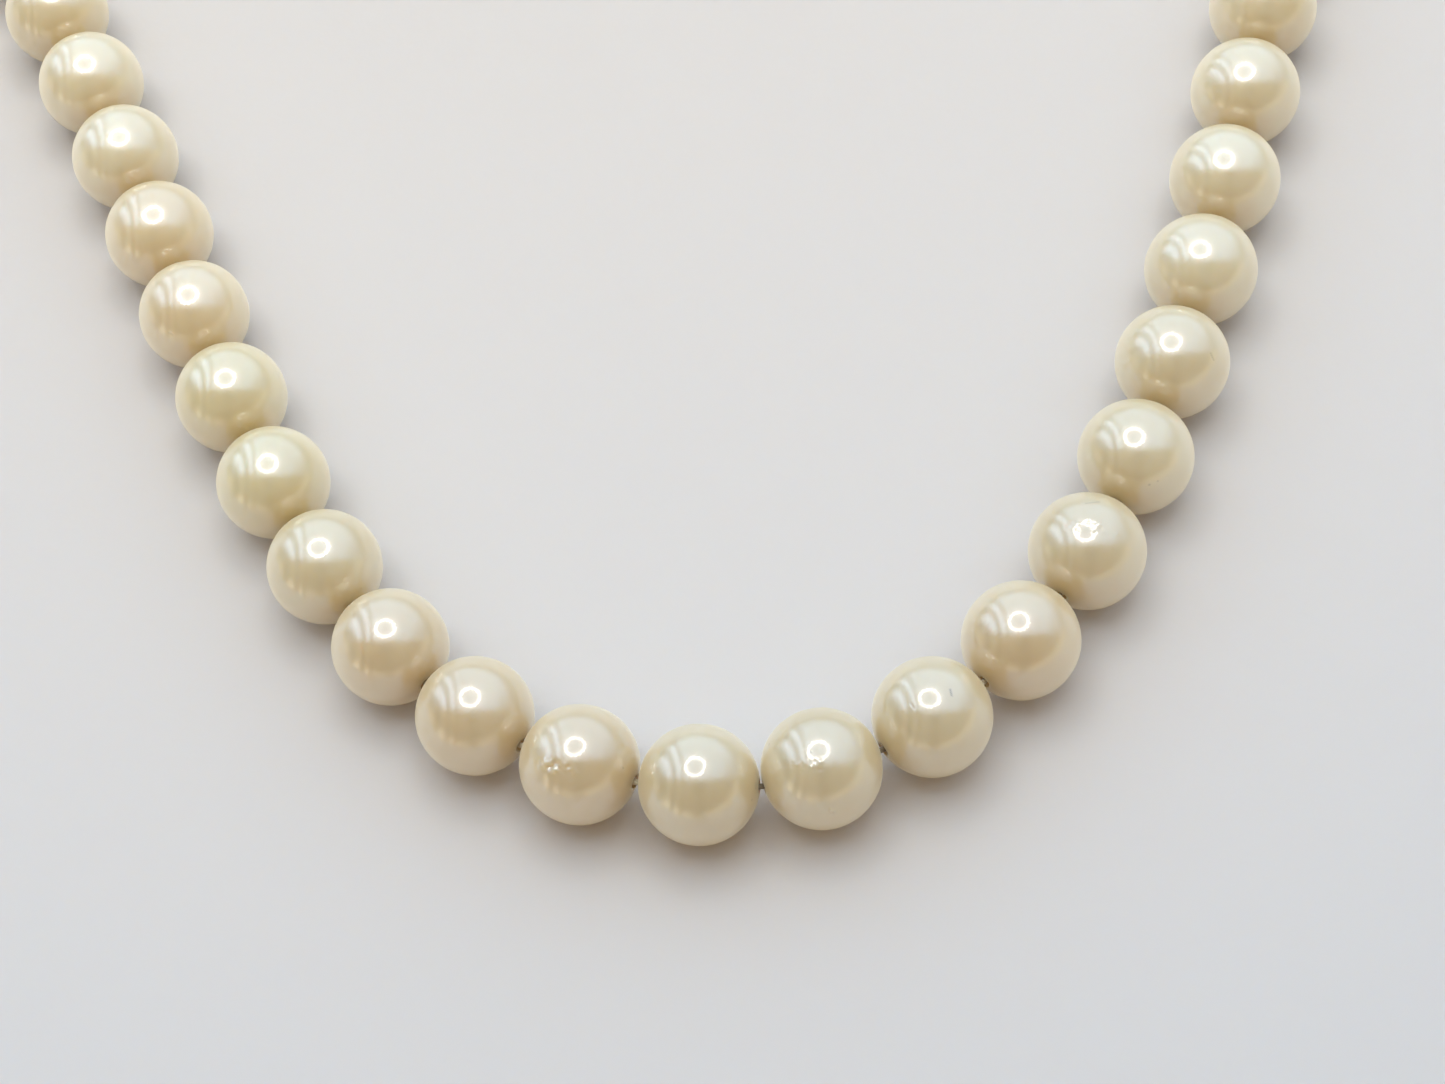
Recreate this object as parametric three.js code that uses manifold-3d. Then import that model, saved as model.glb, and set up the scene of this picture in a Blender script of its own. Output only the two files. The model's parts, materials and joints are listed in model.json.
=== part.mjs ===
// Pearl necklace, laid on a table in an open U with its clasp undone.
// Millimetres, +Z up. +X runs across the U and the two arms open towards +Y.
// The origin is the centre of the footprint, on the table.

import * as THREE from 'three';
import { mergeVertices } from 'three/addons/utils/BufferGeometryUtils.js';
import Module from 'manifold-3d';

const wasm = await Module();
wasm.setup();

// ---- driving dimensions ----

// the strand
const PEARL_DIAMETER = 7.5;
const PEARL_BORE = 0.8;
const PEARL_GAP = 0.2; // between two neighbours on a straight run
const ARM_PEARLS = 24; // on each side of the front pearl
const THREAD_DIAMETER = 0.4;

// how the strand lies, in degrees: each gap turns by FRONT_BEND where the U is tightest,
// fading over SPREAD gaps to an arm's own slight drift, which dies out at its end
const FRONT_HEADING = -11.8;
const RIGHT_LAY = { bend: 19.4, spread: 4.05, drift: 1.3 };
const LEFT_LAY = { bend: 18.5, spread: 4.45, drift: -1.6 };

// the coiled wire sleeve (bullion) that guards the thread where it loops to the clasp
const BULLION_DIAMETER = 1.0;
const BULLION_BORE = 0.62;
const BULLION_LOOP_RADIUS = 1.35; // to the middle of the sleeve
const BULLION_STAND_OFF = 0.4; // from the pearl to the sleeve's ends
const BULLION_LEG_GAP = 0.1;
const BULLION_DIP = 14; // degrees below level, where it hangs towards the clasp

// the jump rings
const RING_RADIUS = 1.6; // to the middle of the wire
const RING_WIRE = 0.7;

// the clasp: an oblong case with a crossbar, and a folded tongue that snaps into it
const CASE_LENGTH = 13;
const CASE_WIDTH = 6;
const TRAY_HEIGHT = 3.6;
const SHEET = 0.6; // metal thickness of tray, lid and tongue
const CASE_CORNER = 2;
const LID_BEVEL = 0.25;
const SEAM = 0.1; // left between soldered neighbours
const EYE_HOLE = 1.7;
const EYE_RIM = 0.75;
const EYE_HEIGHT = 2.1; // of both eyes above the table
const BAR_DIAMETER = 0.7;
const BAR_INSET = 1.7; // from the mouth to the crossbar
const BAR_CLEARANCE = 0.05;
const MOUTH_SILL = 0.9; // height of the wall left under the mouth
const TONGUE_WIDTH = 2.8;
const TONGUE_SIDE_CLEARANCE = 0.3;
const TONGUE_REACH = 11; // from the eye's middle to the tip
const HOOK_DEPTH = 0.6;
const LEAF_THICKNESS = 0.4;
const LEAF_RISE = 9; // degrees that the leaf springs open
const LEAF_REACH = 7.2; // from the fold to the end of the thumb tab
const FOLD_INSET = 0.8; // from the tongue's tip to the fold
const TAB_LENGTH = 2.2;
const TAB_WIDTH = 3.6;

// ---- derived sizes ----

const pearlRadius = PEARL_DIAMETER / 2;
const pitch = PEARL_DIAMETER + PEARL_GAP;
const bullionRadius = BULLION_DIAMETER / 2;
const legOffset = bullionRadius + BULLION_LEG_GAP / 2;
const loopCentre = BULLION_STAND_OFF + legOffset + BULLION_LOOP_RADIUS;
const eyeRadius = EYE_HOLE / 2 + EYE_RIM;
const mouthWidth = TONGUE_WIDTH + 2 * TONGUE_SIDE_CLEARANCE;
const degrees = THREE.MathUtils.degToRad;

// ---- finishes ----

const nacre = new THREE.MeshStandardMaterial({ color: 0xe6dcc0, roughness: 0.25, metalness: 0 });
const silk = new THREE.MeshStandardMaterial({ color: 0xe9e2cf, roughness: 0.85, metalness: 0 });
const gold = new THREE.MeshStandardMaterial({ color: 0xd9b25a, roughness: 0.2, metalness: 1 });

// ---- helpers ----

// a named mesh hung on a parent group
function piece(parent, name, geometry, material) {
  const mesh = new THREE.Mesh(geometry, material);
  mesh.name = name;
  parent.add(mesh);
  return mesh;
}

// a group at (x, y, z) in its parent, turned by heading about Z
function pivot(parent, name, x, y, z, heading = 0) {
  const group = new THREE.Group();
  group.name = name;
  group.position.set(x, y, z);
  group.rotation.z = heading;
  parent.add(group);
  return group;
}

// a path through exact points, so that a tube's sections stand on the points themselves
class PointPath extends THREE.Curve {
  constructor(points) {
    super();
    this.points = points;
  }

  getPoint(t) {
    const last = this.points.length - 1;
    const index = Math.min(Math.floor(t * last + 1e-6), last - 1);
    return this.points[index].clone().lerp(this.points[index + 1], t * last - index);
  }

  getPointAt(u) {
    return this.getPoint(u);
  }

  getTangentAt(u) {
    const last = this.points.length - 1;
    const index = Math.round(u * last);
    const before = this.points[Math.max(index - 1, 0)];
    const here = this.points[index];
    const after = this.points[Math.min(index + 1, last)];
    const arriving = here.clone().sub(before).normalize();
    const leaving = after.clone().sub(here).normalize();
    return arriving.add(leaving).normalize();
  }
}

function disc(radius, sides) {
  const corners = [];
  for (let k = 0; k < sides; k++) {
    const turn = (2 * Math.PI * k) / sides;
    corners.push(new THREE.Vector2(radius * Math.cos(turn), radius * Math.sin(turn)));
  }
  return corners;
}

// a tube along exact points, hollow where a bore is given
function tube(points, diameter, sides, bore = 0) {
  const section = new THREE.Shape(disc(diameter / 2, sides));
  if (bore) section.holes.push(new THREE.Path(disc(bore / 2, sides)));
  return new THREE.ExtrudeGeometry(section, {
    steps: points.length - 1,
    extrudePath: new PointPath(points),
  });
}

// an upright prism over an outline, from height z up
function plate(shape, z, thickness, options = {}) {
  const settings = { depth: thickness, bevelEnabled: false, curveSegments: 4, ...options };
  return new THREE.ExtrudeGeometry(shape, settings).translate(0, 0, z);
}

function rectangle(x0, x1, width) {
  const half = width / 2;
  const corners = [[x0, -half], [x1, -half], [x1, half], [x0, half]];
  return new THREE.Shape(corners.map(([x, y]) => new THREE.Vector2(x, y)));
}

function roundedRectangle(x0, x1, width, corner) {
  const half = width / 2;
  const shape = new THREE.Shape();
  shape.absarc(x1 - corner, half - corner, corner, 0, Math.PI / 2, false);
  shape.absarc(x0 + corner, half - corner, corner, Math.PI / 2, Math.PI, false);
  shape.absarc(x0 + corner, corner - half, corner, Math.PI, 1.5 * Math.PI, false);
  shape.absarc(x1 - corner, corner - half, corner, 1.5 * Math.PI, 2 * Math.PI, false);
  return shape;
}

function toSolid(geometry) {
  const bare = geometry.clone();
  bare.deleteAttribute('normal');
  bare.deleteAttribute('uv');
  const merged = mergeVertices(bare, 1e-5);
  return new wasm.Manifold(new wasm.Mesh({
    numProp: 3,
    vertProperties: new Float32Array(merged.attributes.position.array),
    triVerts: new Uint32Array(merged.index.array),
  }));
}

function toGeometry(solid) {
  const mesh = solid.getMesh();
  const geometry = new THREE.BufferGeometry();
  geometry.setAttribute('position', new THREE.BufferAttribute(mesh.vertProperties, 3));
  geometry.setIndex(new THREE.BufferAttribute(mesh.triVerts, 1));
  geometry.computeVertexNormals();
  return geometry;
}

// ---- the strand ----

// a drilled pearl about the origin, its bore along X
function pearlGeometry() {
  const boreRadius = PEARL_BORE / 2;
  const edge = Math.asin(boreRadius / pearlRadius);
  const bands = 8;
  const profile = [];
  for (let k = 0; k <= bands; k++) {
    const angle = edge + ((Math.PI - 2 * edge) * k) / bands;
    const radius = pearlRadius * Math.sin(angle);
    profile.push(new THREE.Vector2(radius, -pearlRadius * Math.cos(angle)));
  }
  profile.push(profile[0].clone());
  return new THREE.LatheGeometry(profile, 12).rotateZ(-Math.PI / 2);
}

const pearl = pearlGeometry();

// how far the gap outside pearl number k turns, counted from the front
function restBend(lay, k) {
  const front = lay.bend * Math.exp(-(((k + 0.5) / lay.spread) ** 2));
  return degrees(front + lay.drift * (1 - k / ARM_PEARLS));
}

const necklace = new THREE.Group();
const strand = pivot(necklace, 'strand', 0, 0, pearlRadius, degrees(FRONT_HEADING));
piece(strand, 'pearl_front', pearl, nacre);

// an arm is a chain of pivots, each at the middle of a gap and holding the next pearl
function buildArm(side, outward, lay, turn) {
  const mouths = [];
  let parent = pivot(strand, `${side}_arm`, 0, 0, 0, outward);
  let toGap = pitch / 2;
  for (let k = 0; k < ARM_PEARLS; k++) {
    const bend = turn * restBend(lay, k);
    parent = pivot(parent, `${side}_gap_${k + 1}`, toGap, 0, 0, bend);
    const holder = pivot(parent, '', pitch / 2, 0, 0);
    const number = String(k + 1).padStart(2, '0');
    piece(holder, `pearl_${side}_${number}`, pearl, nacre);
    mouths.push([holder, -pearlRadius], [holder, pearlRadius]);
    toGap = pitch;
  }
  const end = pivot(parent, `${side}_end`, pitch / 2 + pearlRadius, 0, 0);
  return { end, mouths };
}

const rightArm = buildArm('right', 0, RIGHT_LAY, 1);
const leftArm = buildArm('left', Math.PI, LEFT_LAY, -1);

// ---- the bullion loops and jump rings ----

// the sleeve's line: out of the pearl's mouth, round the loop and back, in the XY plane
function bullionPoints() {
  const points = [[BULLION_STAND_OFF, -legOffset]];
  const arcSteps = 10;
  const sweep = degrees(125);
  for (let k = 0; k <= arcSteps; k++) {
    const angle = -sweep + (2 * sweep * k) / arcSteps;
    const along = loopCentre + BULLION_LOOP_RADIUS * Math.cos(angle);
    points.push([along, BULLION_LOOP_RADIUS * Math.sin(angle)]);
  }
  points.push([BULLION_STAND_OFF, legOffset]);
  return points.map(([x, y]) => new THREE.Vector3(x, y, 0));
}

const bullionLine = bullionPoints();
const bullion = tube(bullionLine, BULLION_DIAMETER, 8, BULLION_BORE);
const ringBody = new THREE.TorusGeometry(RING_RADIUS, RING_WIRE / 2, 6, 16).rotateX(Math.PI / 2);

// the ring hangs from the loop's middle down to the eye of a clasp half, as its diameter
function buildEnd(side, arm) {
  const swing = pivot(arm.end, `${side}_bullion_pivot`, 0, 0, 0);
  const loop = pivot(swing, `${side}_bullion`, 0, 0, 0);
  loop.rotation.y = degrees(BULLION_DIP);
  piece(loop, `bullion_${side}`, bullion, gold);
  const along = loopCentre * Math.cos(degrees(BULLION_DIP));
  const drop = loopCentre * Math.sin(degrees(BULLION_DIP));
  const ringPivot = pivot(swing, `${side}_ring_pivot`, along, 0, -drop);
  const fall = pearlRadius - drop - EYE_HEIGHT;
  const reach = Math.sqrt((2 * RING_RADIUS) ** 2 - fall ** 2);
  const ringHolder = pivot(ringPivot, '', reach / 2, 0, -fall / 2);
  piece(ringHolder, `jump_ring_${side}`, ringBody, gold);
  const eye = pivot(ringPivot, `${side}_eye`, reach, 0, -fall);
  return { loop, eye };
}

const rightEnd = buildEnd('right', rightArm);
const leftEnd = buildEnd('left', leftArm);

// ---- the clasp case, on the right arm ----

const caseStart = eyeRadius;
const caseEnd = caseStart + CASE_LENGTH;
const barAlong = caseEnd - BAR_INSET;
const barHeight = MOUTH_SILL + BAR_DIAMETER / 2;

function eyeShape() {
  const shape = new THREE.Shape();
  shape.absarc(0, 0, eyeRadius, 0, 2 * Math.PI, false);
  const hole = new THREE.Path();
  hole.absarc(0, 0, EYE_HOLE / 2, 0, 2 * Math.PI, true);
  shape.holes.push(hole);
  return shape;
}

function eyePlate(z) {
  return toSolid(plate(eyeShape(), z, SHEET, { curveSegments: 14 }));
}

// a bar across the clasp at height z, along Y
function crossRod(x, z, diameter, length, sides) {
  return new THREE.CylinderGeometry(diameter / 2, diameter / 2, length, sides).translate(x, 0, z);
}

function trayGeometry() {
  const outline = roundedRectangle(caseStart, caseEnd, CASE_WIDTH, CASE_CORNER);
  const inside = roundedRectangle(
    caseStart + SHEET, caseEnd - SHEET, CASE_WIDTH - 2 * SHEET, CASE_CORNER - SHEET);
  const mouth = rectangle(caseEnd - CASE_CORNER, caseEnd + SHEET, mouthWidth);
  const boreDiameter = BAR_DIAMETER + 2 * BAR_CLEARANCE;
  const bore = crossRod(barAlong, barHeight, boreDiameter, 2 * CASE_WIDTH, 8);
  const lug = eyePlate(EYE_HEIGHT - SHEET / 2);
  const lugRoot = plate(rectangle(eyeRadius - EYE_RIM / 2, caseStart + SHEET / 2, eyeRadius),
    EYE_HEIGHT - SHEET / 2, SHEET);
  return toGeometry(
    toSolid(plate(outline, 0, TRAY_HEIGHT))
      .subtract(toSolid(plate(inside, SHEET, TRAY_HEIGHT)))
      .subtract(toSolid(plate(mouth, MOUTH_SILL, TRAY_HEIGHT)))
      .subtract(toSolid(bore))
      .add(lug)
      .add(toSolid(lugRoot)),
  );
}

function lidGeometry() {
  const outline = roundedRectangle(
    caseStart + LID_BEVEL, caseEnd - LID_BEVEL, CASE_WIDTH - 2 * LID_BEVEL, CASE_CORNER - LID_BEVEL);
  return plate(outline, LID_BEVEL, SHEET - 2 * LID_BEVEL, {
    bevelEnabled: true,
    bevelThickness: LID_BEVEL,
    bevelSize: LID_BEVEL,
    bevelSegments: 1,
  });
}

const clasp = pivot(rightEnd.eye, 'clasp_case', 0, 0, -EYE_HEIGHT);
piece(clasp, 'clasp_tray', trayGeometry(), gold);
piece(clasp, 'clasp_lid', lidGeometry(), gold).position.z = TRAY_HEIGHT + SEAM;
piece(clasp, 'clasp_crossbar', crossRod(barAlong, barHeight, BAR_DIAMETER, CASE_WIDTH, 8), gold);

// ---- the clasp tongue, on the left arm ----

// it dips from its eye until the hook at its tip rests on the table
const tongueDip = Math.asin((EYE_HEIGHT - SHEET / 2 - HOOK_DEPTH) / TONGUE_REACH);

function tongueGeometry() {
  const blade = plate(rectangle(eyeRadius - EYE_RIM / 2, TONGUE_REACH, TONGUE_WIDTH), -SHEET / 2, SHEET);
  const hook = plate(rectangle(TONGUE_REACH - SHEET, TONGUE_REACH, TONGUE_WIDTH),
    -SHEET / 2 - HOOK_DEPTH, SHEET + HOOK_DEPTH);
  return toGeometry(eyePlate(-SHEET / 2).add(toSolid(blade)).add(toSolid(hook)));
}

// the leaf runs back from the fold, and its thumb tab is wider and lies level with the blade
function leafGeometry() {
  const strip = plate(rectangle(-LEAF_REACH, 0, TONGUE_WIDTH), 0, LEAF_THICKNESS);
  const tab = plate(rectangle(-LEAF_REACH, TAB_LENGTH - LEAF_REACH, TAB_WIDTH), 0, LEAF_THICKNESS);
  return toGeometry(toSolid(strip).add(toSolid(tab)));
}

const tongue = pivot(leftEnd.eye, 'clasp_tongue_group', 0, 0, 0);
tongue.rotation.y = tongueDip;
piece(tongue, 'clasp_tongue', tongueGeometry(), gold);
const fold = pivot(tongue, 'leaf_pivot', TONGUE_REACH - FOLD_INSET, 0, SHEET / 2 + SEAM);
const leaf = piece(fold, 'clasp_spring_leaf', leafGeometry(), gold);
leaf.rotation.y = degrees(LEAF_RISE);

// ---- the silk thread, whole, through every bore and round both bullion loops ----

necklace.updateMatrixWorld(true);

function worldPoint(group, x, y = 0, z = 0) {
  return group.localToWorld(new THREE.Vector3(x, y, z));
}

// from just inside the last pearl's mouth round the loop
function loopPoints(arm, end) {
  const entry = worldPoint(arm.end, -0.1);
  return [entry, ...bullionLine.map((p) => worldPoint(end.loop, p.x, p.y, p.z))];
}

const rightRun = rightArm.mouths.slice(0, -1).map(([group, x]) => worldPoint(group, x));
const leftRun = leftArm.mouths.slice(0, -1).map(([group, x]) => worldPoint(group, x));
const threadPoints = [
  ...loopPoints(leftArm, leftEnd).reverse(),
  ...leftRun.reverse(),
  worldPoint(strand, -pearlRadius),
  worldPoint(strand, pearlRadius),
  ...rightRun,
  ...loopPoints(rightArm, rightEnd),
];
piece(necklace, 'silk_thread', tube(threadPoints, THREAD_DIAMETER, 8), silk);

// ---- the footprint's centre becomes the origin ----

const footprint = new THREE.Box3().setFromObject(necklace, true);
const group = new THREE.Group();
necklace.position.set(
  -(footprint.min.x + footprint.max.x) / 2,
  -(footprint.min.y + footprint.max.y) / 2,
  -footprint.min.z,
);
group.add(necklace);

export default group;
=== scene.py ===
# A single row of cream pearls, strung on silk and laid on white paper in an open U.
# Its gilt clasp is undone, the box on the right arm and the tongue on the left.
# Metres, +Z up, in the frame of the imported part.

import json
import math
import random

import bmesh
import bpy
from mathutils import Matrix, Vector, noise


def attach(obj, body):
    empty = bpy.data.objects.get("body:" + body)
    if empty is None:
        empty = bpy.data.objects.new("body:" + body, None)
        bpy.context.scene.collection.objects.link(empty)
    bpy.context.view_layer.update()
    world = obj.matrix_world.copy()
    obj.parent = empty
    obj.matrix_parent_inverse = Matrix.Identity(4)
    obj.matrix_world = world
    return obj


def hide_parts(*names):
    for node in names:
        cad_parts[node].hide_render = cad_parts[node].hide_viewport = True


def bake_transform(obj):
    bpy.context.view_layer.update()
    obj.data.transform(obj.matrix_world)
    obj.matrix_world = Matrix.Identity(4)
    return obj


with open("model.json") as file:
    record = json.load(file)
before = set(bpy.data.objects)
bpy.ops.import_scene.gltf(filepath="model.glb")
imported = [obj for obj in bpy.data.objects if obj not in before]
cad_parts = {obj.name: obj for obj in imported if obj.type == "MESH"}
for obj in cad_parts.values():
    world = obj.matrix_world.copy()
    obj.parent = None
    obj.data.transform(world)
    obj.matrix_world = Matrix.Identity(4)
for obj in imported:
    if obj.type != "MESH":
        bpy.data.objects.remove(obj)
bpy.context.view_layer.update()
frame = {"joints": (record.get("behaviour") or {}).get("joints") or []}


# ---- Camera ----
# A close view through a long lens, from above and in front and rolled a few degrees. It is near the
# front pearl, so the two arms run out of the picture at the top.

FILM_WIDTH = 36.0
CAMERA_LENS = 67.97
CAMERA_ELEVATION = math.radians(60.0)
CAMERA_YAW = math.radians(-1.3)
CAMERA_ROLL = math.radians(10.11)
CAMERA_DISTANCE = 0.1758
CAMERA_TARGET = Vector((0.00328, -0.07191, 0.00375))

level = math.cos(CAMERA_ELEVATION)
looking = Vector((math.sin(CAMERA_YAW) * level, math.cos(CAMERA_YAW) * level, -math.sin(CAMERA_ELEVATION)))
across = Vector((math.cos(CAMERA_YAW), -math.sin(CAMERA_YAW), 0))
upward = across.cross(looking)
camera_right = across * math.cos(CAMERA_ROLL) - upward * math.sin(CAMERA_ROLL)
camera_up = upward * math.cos(CAMERA_ROLL) + across * math.sin(CAMERA_ROLL)

camera = bpy.data.objects.new("camera", bpy.data.cameras.new("camera"))
camera.data.sensor_width = FILM_WIDTH
camera.data.lens = CAMERA_LENS
camera.data.clip_start = 0.01
camera.data.clip_end = 20
camera_axes = Matrix((camera_right, camera_up, -looking)).transposed().to_4x4()
camera.matrix_world = Matrix.Translation(CAMERA_TARGET - looking * CAMERA_DISTANCE) @ camera_axes
bpy.context.scene.collection.objects.link(camera)
bpy.context.scene.camera = camera


# ---- Table and light ----
# White paper on a table in a white room. A ring of narrow lamps hangs over the pearls under
# a bright ceiling with blinds on the left. Whoever looks at them stands dark in front.

UP = Vector((0, 0, 1))
PAPER_SIZE = 4.0
# the paper is paler outward, which evens out the fall of the lamps' light
PAPER_MIDDLE = (0.50, 0.456, 0.413)
PAPER_EDGE = (0.75, 0.684, 0.622)
PAPER_FAR = (0.93, 0.785, 0.66)
MIDDLE_REACH = 0.035
EDGE_REACH = 0.16
FAR_REACH = 0.25

RING_LAMPS = 16
RING_LAMP_CENTRE = Vector((-0.005, 0.045, 0.62))
RING_LAMP_RADIUS = 0.20
RING_LAMP_SIZE = 0.075
RING_LAMP_POWER = 0.0088
RING_LAMP_SPREAD = math.radians(34)
RING_LAMP_AIM = Vector((0, 0.045, 0))
RING_LAMP_GLOW = (1.0, 0.945, 0.85)

CEILING_WHITE = (0.98, 1.26, 1.62)
ROOM_GREY = (0.64, 0.74, 0.88)
BACK_WALL = (0.42, 0.45, 0.46)
FRONT_DARK = (0.33, 0.27, 0.195)
FRONT_LOW = (1.05, 0.92, 0.70)
VIEWER_DARK = (0.05, 0.05, 0.06)
# from and to, as the share of a direction that faces the named side of the room
CEILING_EDGE = (0.10, 0.38)
CEILING_RIGHT = (0.93, 0.60)
BLINDS_EDGE = (-0.3, -0.6)
WALL_TOP = (0.36, 0.04)
VIEWER_EDGE = (0.955, 0.992)
VIEWER_SIDES = (0.20, 0.07)
VIEWER_SHOULDERS = (0.02, -0.12)
VIEWER_HEAD_SHADE = 0.95
VIEWER_BODY_SHADE = 0.45
BLIND_PITCH = 9.0
BLIND_DEPTH = 0.7


def set_shader(material, **sockets):
    """Sets the material's own shader sockets by name, and hands the shader back."""
    shader = material.node_tree.nodes["Principled BSDF"]
    for name, value in sockets.items():
        shader.inputs[name.replace("_", " ")].default_value = value
    return shader


def node(owner, kind, **sockets):
    """A new node of a material or of the room, its sockets set by name."""
    made = owner.node_tree.nodes.new(kind)
    for name, value in sockets.items():
        made.inputs[name.replace("_", " ")].default_value = value
    return made


def sums(owner, operation, first, second=None):
    """A Math node: each input is a number or the output of another node."""
    made = owner.node_tree.nodes.new("ShaderNodeMath")
    made.operation = operation
    for socket, value in zip(made.inputs, (first, second)):
        if isinstance(value, (int, float)):
            socket.default_value = value
        elif value is not None:
            owner.node_tree.links.new(value, socket)
    return made.outputs["Value"]


def ease_between(owner, value, low, high, smooth=True):
    """0 where value is low, 1 where it is high, and eased between."""
    made = node(owner, "ShaderNodeMapRange", From_Min=low, From_Max=high)
    if smooth:
        made.interpolation_type = "SMOOTHSTEP"
    owner.node_tree.links.new(value, made.inputs["Value"])
    return made.outputs["Result"]


def blend_colours(owner, share, first, second):
    """A Mix node: each colour is three numbers or the output of another node."""
    made = owner.node_tree.nodes.new("ShaderNodeMix")
    made.data_type = "RGBA"
    owner.node_tree.links.new(share, made.inputs["Factor"])
    for socket, value in ((made.inputs["A"], first), (made.inputs["B"], second)):
        if isinstance(value, tuple):
            socket.default_value = (*value, 1)
        else:
            owner.node_tree.links.new(value, socket)
    return made.outputs["Result"]


def new_material(name):
    material = bpy.data.materials.new(name)
    material.use_nodes = True
    return material


for k in range(RING_LAMPS):
    turn = 2 * math.pi * k / RING_LAMPS
    light = bpy.data.lights.new(f"ring_lamp_{k + 1}", "AREA")
    light.shape = "DISK"
    light.size = RING_LAMP_SIZE
    light.energy = RING_LAMP_POWER
    light.spread = RING_LAMP_SPREAD
    light.color = RING_LAMP_GLOW
    held = bpy.data.objects.new(f"ring_lamp_{k + 1}", light)
    outward = Vector((math.cos(turn), math.sin(turn), 0))
    held.location = RING_LAMP_CENTRE + RING_LAMP_RADIUS * outward
    held.rotation_euler = (RING_LAMP_AIM - held.location).to_track_quat("-Z", "Y").to_euler()
    held.visible_camera = False
    bpy.context.scene.collection.objects.link(held)

room = bpy.data.worlds.new("white_room")
room.use_nodes = True
bpy.context.scene.world = room
facing = node(room, "ShaderNodeTexCoord").outputs["Generated"]


def share_facing(direction):
    """How nearly each part of the room faces a direction, from -1 to 1."""
    made = room.node_tree.nodes.new("ShaderNodeVectorMath")
    made.operation = "DOT_PRODUCT"
    made.inputs[1].default_value = direction
    room.node_tree.links.new(facing, made.inputs[0])
    return made.outputs["Value"]


above = ease_between(room, share_facing(camera_up), *CEILING_EDGE)
right_share = share_facing(camera_right)
left_side = ease_between(room, right_share, *CEILING_RIGHT)
blinds = sums(room, "SINE", sums(room, "MULTIPLY", right_share, BLIND_PITCH * math.pi))
blinds = sums(room, "MULTIPLY", blinds, ease_between(room, right_share, *BLINDS_EDGE))
low_down = ease_between(room, share_facing(UP), *WALL_TOP)
viewer_head = ease_between(room, share_facing(-looking), *VIEWER_EDGE)
viewer_width = ease_between(room, sums(room, "ABSOLUTE", right_share), *VIEWER_SIDES)
viewer_height = ease_between(room, share_facing(camera_up), *VIEWER_SHOULDERS)
viewer_body = sums(room, "MULTIPLY", viewer_width, viewer_height)
front_colour = blend_colours(room, low_down, FRONT_DARK, FRONT_LOW)
overhead = blend_colours(room, left_side, ROOM_GREY, CEILING_WHITE)
head_shade = sums(room, "MULTIPLY", viewer_head, VIEWER_HEAD_SHADE)
body_shade = sums(room, "MULTIPLY", viewer_body, VIEWER_BODY_SHADE)
shaded = sums(room, "MAXIMUM", head_shade, body_shade)
front_colour = blend_colours(room, shaded, front_colour, VIEWER_DARK)
back_colour = blend_colours(room, low_down, overhead, BACK_WALL)
room_colour = blend_colours(room, above, front_colour, back_colour)
strength = sums(room, "ADD", 1.0, sums(room, "MULTIPLY", blinds, BLIND_DEPTH))
background = room.node_tree.nodes["Background"]
room.node_tree.links.new(room_colour, background.inputs["Color"])
room.node_tree.links.new(strength, background.inputs["Strength"])

bpy.context.scene.view_settings.view_transform = "Standard"

paper_mesh = bpy.data.meshes.new("paper")
half = PAPER_SIZE / 2
corners = [(-half, -half, 0), (half, -half, 0), (half, half, 0), (-half, half, 0)]
paper_mesh.from_pydata(corners, [], [(0, 1, 2, 3)])
paper = bpy.data.objects.new("paper", paper_mesh)
bpy.context.scene.collection.objects.link(paper)
paper_stock = new_material("paper_stock")
shader = set_shader(
    paper_stock, Roughness=0.6, Specular_IOR_Level=0.2, Subsurface_Weight=0.9,
    Subsurface_Radius=(1.0, 0.86, 0.7), Subsurface_Scale=0.006)
where = node(paper_stock, "ShaderNodeTexCoord").outputs["Object"]
fibres = node(paper_stock, "ShaderNodeTexNoise", Scale=900.0, Detail=5.0)
tooth = node(paper_stock, "ShaderNodeBump", Strength=0.25, Distance=0.00006)
measured = node(paper_stock, "ShaderNodeVectorMath")
measured.operation = "DISTANCE"
measured.inputs[1].default_value = RING_LAMP_AIM
from_middle = measured.outputs["Value"]
join = paper_stock.node_tree.links.new
join(where, fibres.inputs["Vector"])
join(where, measured.inputs[0])
join(fibres.outputs["Fac"], tooth.inputs["Height"])
join(tooth.outputs["Normal"], shader.inputs["Normal"])
near_edge = ease_between(paper_stock, from_middle, MIDDLE_REACH, EDGE_REACH, smooth=False)
far_out = ease_between(paper_stock, from_middle, EDGE_REACH, FAR_REACH, smooth=False)
paper_tone = blend_colours(paper_stock, near_edge, PAPER_MIDDLE, PAPER_EDGE)
join(blend_colours(paper_stock, far_out, paper_tone, PAPER_FAR), shader.inputs["Base Color"])
paper_mesh.materials.append(paper_stock)


# ---- Pearls ----
# Forty-nine round cultured pearls, 7.5 mm across: nacre grown on a shell bead, drilled
# through with a 0.8 mm bore. None is a perfect ball, and a few are pitted or wrinkled.

PEARL_RADIUS = 0.00375
BORE_RADIUS = 0.0004
BORE_EASE = 0.00013
ARM_PEARLS = 24
# out of round and rippled, as shares of the radius
OUT_OF_ROUND = 0.006
RIPPLE = 0.0012
OUT_OF_ROUND_SCALE = 1.1
RIPPLE_SCALE = 5
# rings beside each mouth where the swelling fades out
MOUTH_RINGS = 4
STAIN = (0.09, 0.06, 0.035)
SCRATCH_DEPTH = 0.000012
SCRATCH_STEPS = 8

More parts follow.
